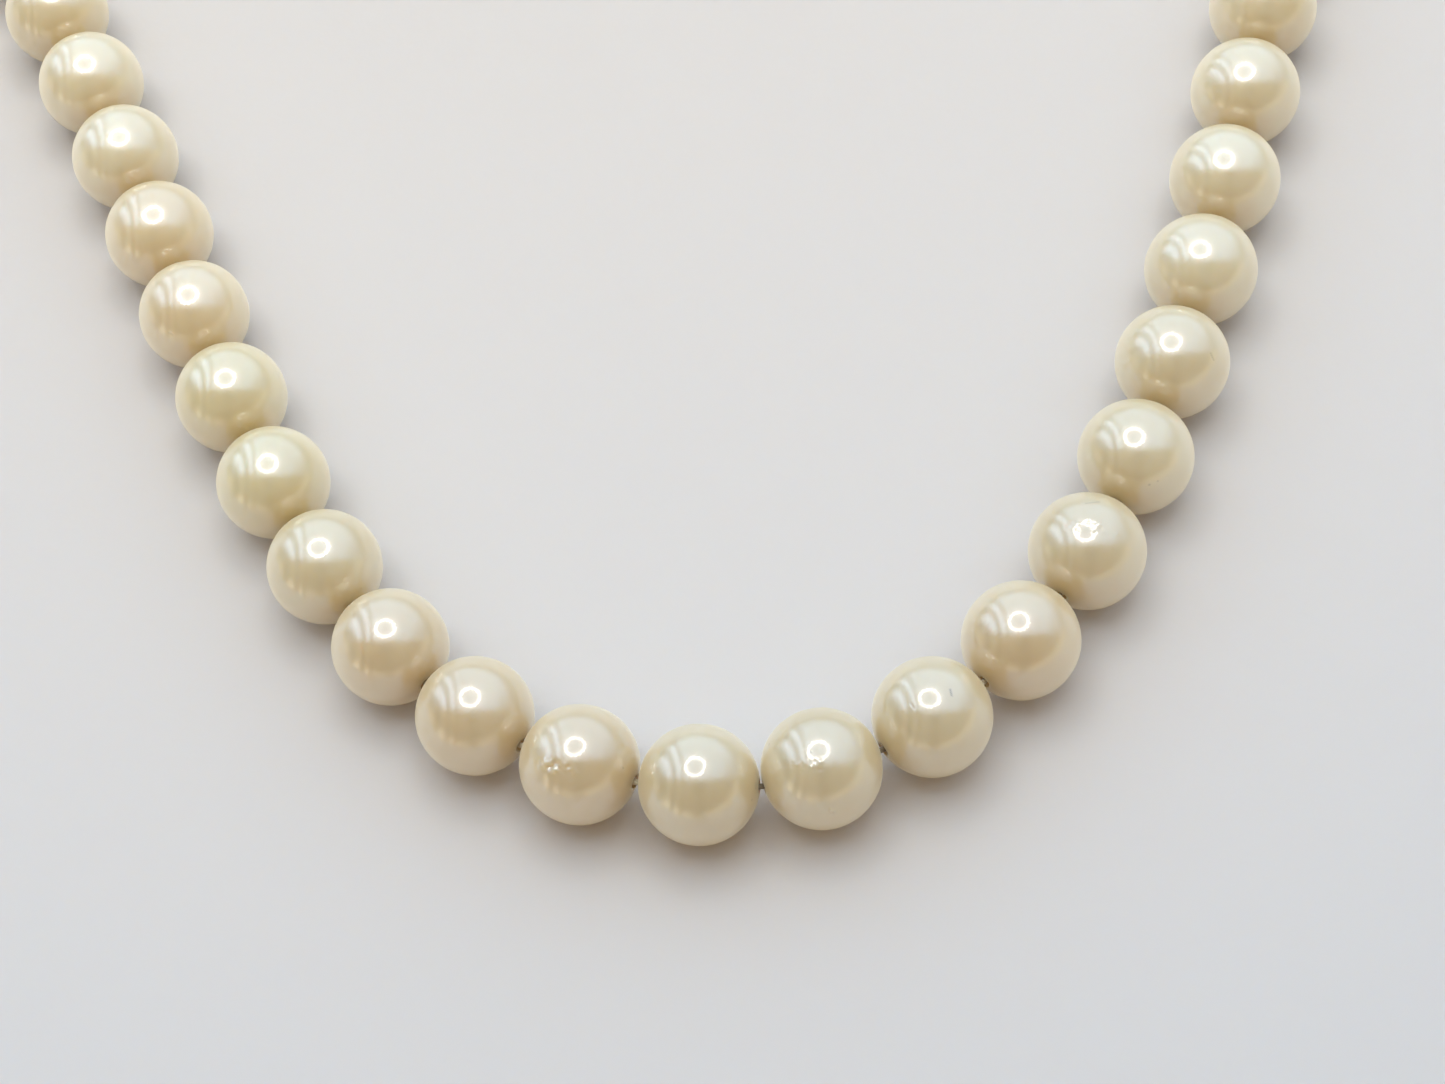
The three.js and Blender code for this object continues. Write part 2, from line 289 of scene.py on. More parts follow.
# colour of the body, the warmer, darker colour round the drill holes that is painted shade and warm bounce
# light where each pearl faces its neighbours, and the pale bloom
NACRE_GRADES = {
    "cream": ((0.613, 0.497, 0.288), (0.589, 0.438, 0.206), (0.656, 0.557, 0.360)),
    "ivory": ((0.593, 0.473, 0.274), (0.579, 0.428, 0.206), (0.642, 0.537, 0.345)),
    "white": ((0.618, 0.512, 0.321), (0.589, 0.448, 0.237), (0.666, 0.577, 0.402)),
    "pale": ((0.632, 0.522, 0.321), (0.598, 0.448, 0.227), (0.675, 0.587, 0.391)),
    "rose": ((0.603, 0.456, 0.255), (0.579, 0.408, 0.196), (0.647, 0.522, 0.324)),
    "blush": ((0.642, 0.502, 0.288), (0.608, 0.438, 0.206), (0.675, 0.557, 0.350)),
    "straw": ((0.627, 0.517, 0.288), (0.598, 0.448, 0.196), (0.666, 0.577, 0.350)),
}
SORTED = {
    "left_01": "rose", "left_02": "rose", "left_03": "rose", "left_04": "cream", "left_05": "straw",
    "left_06": "straw", "left_07": "blush", "left_08": "blush", "left_09": "pale", "left_10": "pale",
    "front": "ivory", "right_01": "ivory", "right_02": "ivory", "right_03": "rose", "right_04": "ivory",
    "right_05": "cream", "right_06": "pale", "right_07": "pale", "right_08": "pale", "right_09": "pale",
}

joints = {j["name"]: j for j in frame["joints"]}
random.seed(49)


def joint_place(name):
    return Vector(joints[name]["pos_m"])


def along_strand(side):
    """The pivots of one arm, from the gap beside the front pearl to the last pearl's outer mouth."""
    pivots = [joint_place(f"gap_{side}_{k:02d}") for k in range(1, ARM_PEARLS + 1)]
    return pivots + [joint_place(f"bullion_{side}_flex")]


arms = {side: along_strand(side) for side in ("right", "left")}
front_span = arms["right"][0] - arms["left"][0]
half_pitch = front_span.length / 2
pearls = {"front": ((arms["right"][0] + arms["left"][0]) / 2, front_span.normalized())}
for side, pivots in arms.items():
    for k in range(ARM_PEARLS):
        outward = (pivots[k + 1] - pivots[k]).normalized()
        pearls[f"{side}_{k + 1:02d}"] = (pivots[k] + outward * half_pitch, outward)


def pearl_profile(rings):
    """Distance along the bore and from it, from one mouth over the outside to the other."""
    ease = math.asin((BORE_RADIUS + BORE_EASE) / PEARL_RADIUS)
    skin = []
    for k in range(rings + 1):
        angle = ease + (math.pi - 2 * ease) * k / rings
        skin.append((-PEARL_RADIUS * math.cos(angle), PEARL_RADIUS * math.sin(angle)))
    mouth = skin[-1][0]
    lip = [(mouth - BORE_EASE * 0.25, BORE_RADIUS + BORE_EASE * 0.4), (mouth - BORE_EASE, BORE_RADIUS)]
    inside = [(mouth * 0.5, BORE_RADIUS), (-mouth * 0.5, BORE_RADIUS)]
    return skin + lip + inside + [(-x, r) for x, r in reversed(lip)], len(skin)


def pearl_mesh(name, faults, sides, rings):
    """A drilled pearl about the origin, its bore along X, with its own small faults."""
    profile, skin_rings = pearl_profile(rings)
    seed = Vector([random.uniform(-50, 50) for _ in range(3)])
    points, stains = [], []
    for index, (x, radius) in enumerate(profile):
        for s in range(sides):
            turn = 2 * math.pi * s / sides
            point = Vector((x, radius * math.cos(turn), radius * math.sin(turn)))
            stained = 0.0
            if index < skin_rings:
                out = point.normalized()
                from_mouth = min(1.0, (skin_rings - 1 - index) / MOUTH_RINGS, index / MOUTH_RINGS)
                swell = OUT_OF_ROUND * noise.noise(out * OUT_OF_ROUND_SCALE + seed)
                swell += RIPPLE * noise.noise(out * RIPPLE_SCALE + seed)
                for place, spread, rise, stain in faults:
                    away = (out - place).length * PEARL_RADIUS
                    if away < 3 * spread:
                        share = math.exp(-((away / spread) ** 2))
                        swell += rise / PEARL_RADIUS * share
                        stained = max(stained, stain * share)
                point *= 1 + swell * from_mouth
            points.append(point)
            stains.append(stained)
    count = len(profile)
    faces = []
    for ring in range(count):
        a, b = ring * sides, ((ring + 1) % count) * sides
        for s in range(sides):
            t = (s + 1) % sides
            faces.append((a + s, b + s, b + t, a + t))
    mesh = bpy.data.meshes.new(name)
    mesh.from_pydata(points, [], faces)
    mesh.shade_smooth()
    mesh.attributes.new("stain", "FLOAT", "POINT").data.foreach_set("value", stains)
    return mesh


def nacre(name, body, bounce_and_shade, bloom):
    """Layered nacre: a soft body under many clear skins that throw back much of the light."""
    material = new_material(name)
    shader = set_shader(
        material, Roughness=0.28, IOR=2.1, Specular_IOR_Level=0.52,
        Subsurface_Weight=0.9, Subsurface_Radius=(1.0, 0.78, 0.48), Subsurface_Scale=0.003,
        Coat_Weight=1.0, Coat_Roughness=0.08, Coat_IOR=1.85,
        Sheen_Weight=0.8, Sheen_Roughness=0.5, Sheen_Tint=(1.0, 0.87, 0.60, 1.0))
    join = material.node_tree.links.new
    where = node(material, "ShaderNodeTexCoord").outputs["Object"]
    shifted = node(material, "ShaderNodeVectorMath")
    join(where, shifted.inputs[0])
    join(node(material, "ShaderNodeObjectInfo").outputs["Random"], shifted.inputs[1])
    cloud = node(material, "ShaderNodeTexNoise", Scale=230.0, Detail=2.0, Roughness=0.45)
    join(shifted.outputs["Vector"], cloud.inputs["Vector"])
    cloudy = ease_between(material, cloud.outputs["Fac"], 0.35, 0.68, smooth=False)
    split = node(material, "ShaderNodeSeparateXYZ")
    join(where, split.inputs["Vector"])
    ends = sums(material, "ABSOLUTE", split.outputs["X"])
    # painted shade and warm bounce light towards each mouth, where the pearl faces its neighbour
    facing_neighbour = ease_between(material, ends, PEARL_RADIUS * 0.62, PEARL_RADIUS)
    colour = blend_colours(material, facing_neighbour, blend_colours(material, cloudy, body, bloom), bounce_and_shade)
    stain = node(material, "ShaderNodeAttribute")
    stain.attribute_name = "stain"
    colour = blend_colours(material, stain.outputs["Fac"], colour, STAIN)
    join(colour, shader.inputs["Base Color"])
    growth = node(material, "ShaderNodeTexNoise", Scale=1500.0, Detail=4.0, Roughness=0.55)
    skin = node(material, "ShaderNodeBump", Strength=0.4, Distance=0.000005)
    join(shifted.outputs["Vector"], growth.inputs["Vector"])
    join(growth.outputs["Fac"], skin.inputs["Height"])
    join(skin.outputs["Normal"], shader.inputs["Normal"])
    return material


def seen_from_front(right, up):
    """The direction from a pearl's middle to a place on its front, in shares of its radius."""
    return camera_right * right + camera_up * up - looking * math.sqrt(1 - right * right - up * up)


def wrinkles(seed, start, end, wander, count, spread, rise):
    """A run of tiny ridges and pits in the nacre between two places."""
    chance = random.Random(seed)
    run = []
    for k in range(count):
        share = k / (count - 1)
        right = start[0] + (end[0] - start[0]) * share + chance.uniform(-wander, wander)
        up = start[1] + (end[1] - start[1]) * share + chance.uniform(-wander, wander)
        sign = 1 if k % 2 else -1
        size = chance.uniform(0.6, 1.3)
        run.append((right, up, spread * size, sign * rise * size, 0.0))
    return run


def scratch(start, end, width, stain):
    """A shallow dark line in the nacre between two places."""
    run = []
    for k in range(SCRATCH_STEPS + 1):
        share = k / SCRATCH_STEPS
        right = start[0] + (end[0] - start[0]) * share
        up = start[1] + (end[1] - start[1]) * share
        run.append((right, up, width, -SCRATCH_DEPTH, stain))
    return run


# each fault: how far right and up it shows, its spread, its rise (or fall) and how dark it is
PEARL_FAULTS = {
    "front": [(0.86, -0.20, 0.00006, -0.00001, 0.5), (0.92, -0.02, 0.00005, -0.00001, 0.5)],
    "left_01": wrinkles(1, (-0.58, 0.04), (-0.34, 0.02), 0.07, 30, 0.00019, 0.000058)
    + wrinkles(2, (-0.34, 0.05), (-0.06, -0.04), 0.06, 18, 0.00012, 0.000030)
    + [(-0.50, -0.02, 0.00030, 0.00008, 0.0), (0.74, 0.0, 0.00005, -0.00001, 0.6)],
    "right_01": wrinkles(3, (-0.46, 0.10), (-0.06, 0.13), 0.09, 22, 0.00009, 0.000015)
    + wrinkles(4, (0.02, -0.62), (0.16, -0.60), 0.04, 12, 0.00010, 0.000026)
    + [(-0.20, 0.34, 0.00005, -0.00001, 0.5), (-0.17, 0.50, 0.00005, -0.00001, 0.45),
       (-0.86, 0.42, 0.00006, -0.00001, 0.6)],
    "right_02": scratch((0.23, 0.50), (0.25, 0.40), 0.00005, 0.85)
    + scratch((-0.42, 0.28), (-0.36, 0.20), 0.00004, 0.2),
    "right_04": wrinkles(5, (-0.40, 0.42), (0.30, 0.36), 0.10, 24, 0.00014, 0.000022)
    + scratch((-0.10, 0.80), (0.12, 0.82), 0.00006, 0.35),
    "right_05": [(0.10, -0.50, 0.00006, -0.00001, 0.6), (0.24, -0.44, 0.00005, -0.00001, 0.5)],
    "right_06": scratch((0.52, 0.10), (0.58, -0.02), 0.00005, 0.4),
    "left_04": wrinkles(6, (0.30, -0.30), (0.46, -0.20), 0.05, 8, 0.00010, 0.000012),
    "left_07": scratch((-0.30, -0.40), (-0.22, -0.44), 0.00005, 0.3),
    "right_14": wrinkles(7, (-0.20, 0.50), (0.30, 0.40), 0.07, 16, 0.00011, 0.000016),
    "left_17": wrinkles(8, (0.10, 0.10), (0.50, 0.40), 0.07, 16, 0.00011, 0.000016),
}
# sides and rings of the mesh: a faulty pearl needs more of them
PLAIN_MESH = (112, 64)
FAULTY_MESH = (264, 150)
OTHER_GRADES = ["cream", "pale", "ivory", "blush", "straw", "white"]


def upright(place, along, side, up):
    """Stands a piece at a place, its X, Y and Z along the three directions given."""
    return Matrix.Translation(place) @ Matrix((along, side, up)).transposed().to_4x4()


nacres = {grade: nacre(f"nacre_{grade}", *colours) for grade, colours in NACRE_GRADES.items()}

for name, (centre, bore) in pearls.items():
    side_on = Vector((-bore.y, bore.x, 0))
    faults = []
    for right, up, spread, rise, stain in PEARL_FAULTS.get(name, ()):
        towards = seen_from_front(right, up)
        faults.append((Vector((towards.dot(bore), towards.dot(side_on), towards.z)), spread, rise, stain))
    grade = SORTED.get(name) or random.choice(OTHER_GRADES)
    mesh_size = FAULTY_MESH if faults else PLAIN_MESH
    piece = bpy.data.objects.new(f"nacre_{name}", pearl_mesh(f"nacre_{name}", faults, *mesh_size))
    piece.data.materials.append(nacres[grade])
    bpy.context.scene.collection.objects.link(piece)
    piece.matrix_world = upright(centre, bore, side_on, UP)
    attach(piece, "front" if name == "front" else f"pearl_{name}")
    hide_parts(f"pearl_{name}")


# ---- Silk thread ----
# Twisted three-ply silk, 0.4 mm thick, runs through every bore with no knots. It shows only
# as a short link in each gap, and where it leaves the last pearls for the wire sleeves.

PLY_RADIUS = 0.000105
PLY_OFFSET = 0.000088
PLY_TURN = 0.0011
PLY_STEP = 0.0002
PLIES = 3
PLY_SIDES = 6
COIL_STEPS = 12
# how far from a pearl's middle to the gap's pivot the thread leaves its bore
MOUTH_SHARE = 0.97
# the silk in these two gaps near the front is much darker
DARK_SILK_GAPS = ("thread_gap_right_01", "thread_gap_right_02")


def heading_of(side):
    """The way an arm points where it ends."""
    return (arms[side][-1] - arms[side][-2]).normalized()


def even_steps(points, step):
    """The same line with its corners rounded and its points set evenly along it."""
    for _ in range(2):
        cut = [points[0]]
        for a, b in zip(points, points[1:]):
            cut += [a.lerp(b, 0.25), a.lerp(b, 0.75)]
        points = cut + [points[-1]]
    run = [0.0]
    for a, b in zip(points, points[1:]):
        run.append(run[-1] + (b - a).length)
    count = max(2, round(run[-1] / step))
    spaced, index = [], 0
    for k in range(count + 1):
        target = run[-1] * k / count
        while index < len(run) - 2 and run[index + 1] < target:
            index += 1
        share = (target - run[index]) / (run[index + 1] - run[index])
        spaced.append(points[index].lerp(points[index + 1], min(1.0, share)))
    return spaced


def frames_along(points, first_side):
    """At each point the line's direction and two sides that never twist round it."""
    side = first_side.copy()
    frames = []
    for k, point in enumerate(points):
        along = (points[min(k + 1, len(points) - 1)] - points[max(k - 1, 0)]).normalized()
        side = (side - along * side.dot(along)).normalized()
        frames.append((point, along, side, along.cross(side)))
    return frames


def coil_line(points, radius, pitch, per_turn, start=0.0):
    """A helix of that radius and pitch wound round a line of even steps."""
    wound = []
    frames = frames_along(points, UP)
    length = sum((b - a).length for a, b in zip(points, points[1:]))
    steps = round(length / pitch * per_turn)
    for k in range(steps + 1):
        share = k / steps * (len(points) - 1)
        index = min(int(share), len(points) - 2)
        part = share - index
        (point, _, side, other), (point2, _, side2, other2) = frames[index], frames[index + 1]
        turn = start + 2 * math.pi * k / per_turn
        out = side.lerp(side2, part) * math.cos(turn) + other.lerp(other2, part) * math.sin(turn)
        wound.append(point.lerp(point2, part) + radius * out)
    return wound


def add_wire(build, points, radius, sides):
    """A round wire along points, a little thinner at its two closed ends."""
    rings = []
    for k, (point, _, side, other) in enumerate(frames_along(points, UP)):
        size = radius * 0.6 if k in (0, len(points) - 1) else radius
        ring = []
        for s in range(sides):
            turn = 2 * math.pi * s / sides
            ring.append(build.verts.new(point + size * (side * math.cos(turn) + other * math.sin(turn))))
        rings.append(ring)
    for a, b in zip(rings, rings[1:]):
        for s in range(sides):
            t = (s + 1) % sides
            build.faces.new((a[s], a[t], b[t], b[s]))
    build.faces.new(list(reversed(rings[0])))
    build.faces.new(rings[-1])


def finished(name, build, material, body=None, nodes=(), place=None):
    """Turns what was built into a smooth piece, gives it its finish and hangs it on its body."""
    mesh = bpy.data.meshes.new(name)
    bmesh.ops.recalc_face_normals(build, faces=build.faces)
    build.to_mesh(mesh)
    build.free()
    mesh.shade_smooth()
    mesh.materials.append(material)
    made = bpy.data.objects.new(name, mesh)
    bpy.context.scene.collection.objects.link(made)
    if place is not None:
        made.matrix_world = place
    if body:
        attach(made, body)
    if nodes:
        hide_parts(*nodes)
    return made


def silk(name, light, dark):
    """Twisted silk: soft, a little fluffy, and darker where it is worn or soiled."""
    material = new_material(name)
    shader = set_shader(
        material, Roughness=0.62, Sheen_Weight=0.5, Sheen_Roughness=0.4,
        Subsurface_Weight=0.3, Subsurface_Radius=(1.0, 0.8, 0.6), Subsurface_Scale=0.0003)
    join = material.node_tree.links.new
    where = node(material, "ShaderNodeTexCoord").outputs["Object"]
    worn = node(material, "ShaderNodeTexNoise", Scale=700.0, Detail=3.0)
    fluff = node(material, "ShaderNodeTexNoise", Scale=16000.0, Detail=2.0)
    fluff_bump = node(material, "ShaderNodeBump", Strength=0.5, Distance=0.00001)
    join(where, worn.inputs["Vector"])
    join(where, fluff.inputs["Vector"])
    join(fluff.outputs["Fac"], fluff_bump.inputs["Height"])
    join(fluff_bump.outputs["Normal"], shader.inputs["Normal"])
    soiled = ease_between(material, worn.outputs["Fac"], 0.35, 0.65)
    join(blend_colours(material, soiled, dark, light), shader.inputs["Base Color"])
    return material


clean_silk = silk("clean_silk", (0.72, 0.60, 0.40), (0.55, 0.44, 0.27))
# much darker silk, used only in the two gaps near the front
dark_silk = silk("dark_silk", (0.34, 0.27, 0.17), (0.12, 0.09, 0.055))


def thread_piece(name, line, replaced=()):
    """A length of plied silk along a line, not yet hung on a body."""
    build = bmesh.new()
    steps = even_steps(line, PLY_STEP)
    for ply in range(PLIES):
        plied = coil_line(steps, PLY_OFFSET, PLY_TURN, COIL_STEPS, start=2 * math.pi * ply / PLIES)
        add_wire(build, plied, PLY_RADIUS, PLY_SIDES)
    material = dark_silk if name in DARK_SILK_GAPS else clean_silk
    return finished(name, build, material, nodes=replaced)


strand = [f"left_{k:02d}" for k in range(ARM_PEARLS, 0, -1)]
strand += ["front"] + [f"right_{k:02d}" for k in range(1, ARM_PEARLS + 1)]


for here, after in zip(strand, strand[1:]):
    outer, inner = (here, after) if here.startswith("left") else (after, here)
    side, number = outer.split("_")
    pivot = arms[side][int(number) - 1]
    inner_centre, outer_centre = pearls[inner][0], pearls[outer][0]
    inner_mouth = inner_centre + (pivot - inner_centre) * MOUTH_SHARE
    outer_mouth = outer_centre + (pivot - outer_centre) * MOUTH_SHARE
    replaced = ["silk_thread"] if inner == "front" and side == "right" else ()
    line = [inner_centre, inner_mouth, outer_mouth, outer_centre]
    link = thread_piece(f"thread_gap_{side}_{number}", line, replaced)
    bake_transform(link)


# ---- Wire sleeves ----
# Each end of the thread is led through a bullion, a sleeve of fine gilt wire wound close,
# which is bent into a loop so that the silk never rubs on the jump ring.

SLEEVE_RADIUS = 0.0005
SLEEVE_WIRE = 0.000065
SLEEVE_PITCH = 0.000138
SLEEVE_LOOP = 0.00135
SLEEVE_STAND_OFF = 0.0004
SLEEVE_CLEARANCE = 0.00018
SLEEVE_LEG = 0.00055
SLEEVE_DIP = math.radians(14)
SLEEVE_SWEEP = math.radians(125)
SLEEVE_STEP = 0.0001
SLEEVE_LOOP_STEPS = 20
SLEEVE_COIL_STEPS = 14
SLEEVE_WIRE_SIDES = 6
# where the thread leaves the pearl, and where it has begun to move with the sleeve
LOOP_MOUTH = 0.0002


def gilt(name, body, shade, roughness, scratches):
    """Gold plate, deeper in its hollows and brighter where handling has polished it."""
    material = new_material(name)
    shader = set_shader(material, Metallic=1.0, Specular_IOR_Level=0.5)
    join = material.node_tree.links.new
    where = node(material, "ShaderNodeTexCoord").outputs["Object"]
    tarnish = node(material, "ShaderNodeTexNoise", Scale=420.0, Detail=4.0, Roughness=0.6)
    join(where, tarnish.inputs["Vector"])
    pointed = node(material, "ShaderNodeNewGeometry").outputs["Pointiness"]
    worn_edges = ease_between(material, pointed, 0.46, 0.56)
    dull = ease_between(material, tarnish.outputs["Fac"], 0.42, 0.66)
    still_bright = sums(material, "SUBTRACT", 1.0, sums(material, "MULTIPLY", dull, 0.6))
    bright_share = sums(material, "MULTIPLY", worn_edges, still_bright)
    join(blend_colours(material, bright_share, shade, body), shader.inputs["Base Color"])
    join(sums(material, "ADD", roughness, sums(material, "MULTIPLY", dull, 0.12)), shader.inputs["Roughness"])
    lines = node(material, "ShaderNodeTexNoise", Scale=1.0, Detail=3.0)
    stretched = node(material, "ShaderNodeMapping")
    stretched.inputs["Scale"].default_value = (900, 5200, 5200)
    join(where, stretched.inputs["Vector"])
    join(stretched.outputs["Vector"], lines.inputs["Vector"])
    rub = node(material, "ShaderNodeBump", Strength=scratches, Distance=0.000006)
    join(lines.outputs["Fac"], rub.inputs["Height"])
    join(rub.outputs["Normal"], shader.inputs["Normal"])
    return material


bright_gilt = gilt("bright_gilt", (0.89, 0.64, 0.28), (0.66, 0.43, 0.16), roughness=0.17, scratches=0.25)


def end_frame(side, origin, dip):
    """X along the end of the arm, dipped below level; Y level to its left."""
    heading = heading_of(side)
    left = Vector((-heading.y, heading.x, 0))
    along = heading * math.cos(dip) - UP * math.sin(dip)
    return upright(origin, along, left, along.cross(left))


def sleeve_line():
    """The middle of the sleeve: out along one leg, round the loop and back along the other."""
    middle = SLEEVE_STAND_OFF + SLEEVE_LEG + SLEEVE_LOOP
    start = SLEEVE_STAND_OFF + SLEEVE_CLEARANCE
    line = [Vector((start, -SLEEVE_LEG, 0))]
    for k in range(SLEEVE_LOOP_STEPS + 1):
        angle = -SLEEVE_SWEEP + 2 * SLEEVE_SWEEP * k / SLEEVE_LOOP_STEPS
        line.append(Vector((middle + SLEEVE_LOOP * math.cos(angle), SLEEVE_LOOP * math.sin(angle), 0)))
    return line + [Vector((start, SLEEVE_LEG, 0))]


for side in ("right", "left"):
    place = end_frame(side, arms[side][-1], SLEEVE_DIP)
    build = bmesh.new()
    steps = even_steps(sleeve_line(), SLEEVE_STEP)
    coil = coil_line(steps, SLEEVE_RADIUS - SLEEVE_WIRE, SLEEVE_PITCH, SLEEVE_COIL_STEPS)
    add_wire(build, coil, SLEEVE_WIRE, SLEEVE_WIRE_SIDES)
    body = f"bullion_{side}"
    finished(f"bullion_coil_{side}", build, bright_gilt, body, [body], place)
    inside = place.inverted() @ pearls[f"{side}_{ARM_PEARLS}"][0]
    mouth = Vector((-LOOP_MOUTH, 0, 0))
    entry = [inside, mouth, *sleeve_line(), mouth, inside]
    looped = thread_piece(f"thread_loop_{side}", [place @ p for p in entry])
    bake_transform(looped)


# ---- Jump rings ----
# A ring of round gilt wire joins each sleeve to its half of the clasp. It is cut from a coil,
# opened sideways and pressed shut, so a hairline shows where its ends meet.

RING_WIRE = 0.00035
RING_CUT = math.radians(1.6)
RING_CUT_PLACE = math.radians(112)
RING_STEPS = 72
RING_WIRE_SIDES = 18

for side, half_name in (("right", "clasp_case"), ("left", "clasp_tongue")):
    top = joint_place(f"jump_ring_{side}_swing")
    eye = joint_place(f"{half_name}_swing")
    radius = (eye - top).length / 2
    outward = (eye - top).normalized()
    level_side = Vector((-outward.y, outward.x, 0)).normalized()
    rise = outward.cross(level_side)
    ring_place = upright((top + eye) / 2, outward, rise, level_side)
    build = bmesh.new()
    line = []
    for k in range(RING_STEPS + 1):
        angle = RING_CUT_PLACE + RING_CUT / 2 + (2 * math.pi - RING_CUT) * k / RING_STEPS
        line.append(Vector((radius * math.cos(angle), radius * math.sin(angle), 0)))
    add_wire(build, [line[0]] + line + [line[-1]], RING_WIRE, RING_WIRE_SIDES)
    body = f"jump_ring_{side}"
    finished(f"ring_wire_{side}", build, bright_gilt, body, [body], ring_place)


# ---- Clasp tray ----
# The lower half of an oblong box clasp, pressed from gilt sheet with rounded corners. It has
# a soldered eye at one end and a mouth in the other for the tongue. Its edges are eased.

CASE_LENGTH = 0.013
CASE_WIDTH = 0.006
CASE_CORNER = 0.002
TRAY_HEIGHT = 0.0036
SHEET = 0.0006
ROUND_OVER = 0.00012
FLOOR_INSET = SHEET * 2.2
EYE_HOLE_RADIUS = 0.00085
EYE_RADIUS = 0.0016
EYE_EASE = 0.00014
NECK_REACH = (EYE_RADIUS * 0.74, EYE_RADIUS * 0.9, EYE_RADIUS + SHEET / 2)
NECK_WIDTHS = [0.0013, 0.0014, 0.0022]
MOUTH_WIDTH = 0.0034
MOUTH_SILL = 0.0009
CASE_MIDDLE = EYE_RADIUS + CASE_LENGTH / 2
CORNER_STEPS = 14
# a side longer than the first number is cut into as many lengths as the second says
LONG_SIDE = (0.003, 12)
SHORT_SIDE = (0.0006, 5)

satin_gilt = gilt("satin_gilt", (0.86, 0.60, 0.26), (0.61, 0.38, 0.14), roughness=0.24, scratches=0.4)


def case_outline():
    """Points round the edge of the case, always in the same order."""
    start, end, half_width = EYE_RADIUS, EYE_RADIUS + CASE_LENGTH, CASE_WIDTH / 2
    corners = [(end, half_width), (start, half_width), (start, -half_width), (end, -half_width)]
    outline = []
    for quarter, (x, y) in enumerate(corners):
        cx = x - CASE_CORNER if x == end else x + CASE_CORNER
        cy = y - math.copysign(CASE_CORNER, y)
        for k in range(CORNER_STEPS + 1):
            angle = (quarter + k / CORNER_STEPS) * math.pi / 2
            x_out, y_out = CASE_CORNER * math.cos(angle), CASE_CORNER * math.sin(angle)
            outline.append(Vector((cx + x_out, cy + y_out, 0)))
    full = []
    for a, b in zip(outline, outline[1:] + outline[:1]):
        cuts = 1
        if abs(b.x - a.x) > LONG_SIDE[0]:
            cuts = LONG_SIDE[1]
        elif abs(b.y - a.y) > SHORT_SIDE[0]:
            cuts = SHORT_SIDE[1]
        full += [a] + [a.lerp(b, k / cuts) for k in range(1, cuts)]
    return full


def add_layers(build, layers):
    """Skins a stack of loops that have the same number of points, and caps both ends."""
    rows = [[build.verts.new(p) for p in loop] for loop in layers]
    count = len(rows[0])
    for low, high in zip(rows, rows[1:]):
        for k in range(count):
            n = (k + 1) % count
            build.faces.new((low[k], low[n], high[n], high[k]))
    build.faces.new(list(reversed(rows[0])))
    build.faces.new(rows[-1])


def around(inset, height):
    """The case outline pulled in by inset; height is a number or a function of the point."""
    points = []
    for edge in case_outline():
        cx = min(max(edge.x, EYE_RADIUS + CASE_CORNER), EYE_RADIUS + CASE_LENGTH - CASE_CORNER)
        cy = max(-CASE_WIDTH / 2 + CASE_CORNER, min(CASE_WIDTH / 2 - CASE_CORNER, edge.y))
        out = Vector((edge.x - cx, edge.y - cy, 0)).normalized()
        point = edge - out * inset
        if inset > CASE_CORNER:
            shrink = 1 - (inset - CASE_CORNER) / (CASE_WIDTH / 2 - CASE_CORNER) * 0.94
            shorten = 1 - (inset - CASE_CORNER) / CASE_LENGTH * 2
            point = Vector((CASE_MIDDLE + (cx - CASE_MIDDLE) * shorten, cy * shrink, 0))
        z = height(edge) if callable(height) else height
        points.append(Vector((point.x, point.y, z)))
    return points


def wall_top(below):
    """Height round the wall, at a distance below its top, which is low across the mouth."""
    def height(edge):
        at_mouth = edge.x > CASE_MIDDLE and abs(edge.y) < MOUTH_WIDTH / 2
        return (MOUTH_SILL if at_mouth else TRAY_HEIGHT) - below
    return height


def add_ring_plate(build, centre, inner, outer, thick, ease, sides=48):
    """A flat washer with eased edges, its axis along Z."""
    low, high = -thick / 2, thick / 2
    section = [(inner, low + ease), (inner + ease, low), (outer - ease, low), (outer, low + ease),
               (outer, high - ease), (outer - ease, high), (inner + ease, high), (inner, high - ease)]
    rings = []
    for s in range(sides):
        turn = 2 * math.pi * s / sides
        spots = [Vector((r * math.cos(turn), r * math.sin(turn), z)) for r, z in section]
        rings.append([build.verts.new(centre + spot) for spot in spots])
    for s in range(sides):
        a, b = rings[s], rings[(s + 1) % sides]
        for k in range(len(section)):
            n = (k + 1) % len(section)
            build.faces.new((a[k], b[k], b[n], a[n]))


def add_strip(build, path, widths, thick, ease=0.0001):
    """Flat sheet bent along a path in the XZ plane, its edges eased; one width per point."""
    rows = []
    for k, (x, z) in enumerate(path):
        before, after = path[max(k - 1, 0)], path[min(k + 1, len(path) - 1)]
        along = Vector((after[0] - before[0], 0, after[1] - before[1])).normalized()
        up = Vector((-along.z, 0, along.x))
        if up.z < 0 and abs(up.z) > 0.7:
            up = -up
        wide, high = widths[k] / 2, thick / 2
        section = [(-wide + ease, -high), (wide - ease, -high), (wide, -high + ease), (wide, high - ease),
                   (wide - ease, high), (-wide + ease, high), (-wide, high - ease), (-wide, -high + ease)]
        rows.append([Vector((x, y, z)) + up * t for y, t in section])
    add_layers(build, rows)


case_origin = joint_place("clasp_case_swing")
case_place = end_frame("right", Vector((case_origin.x, case_origin.y, 0)), 0)

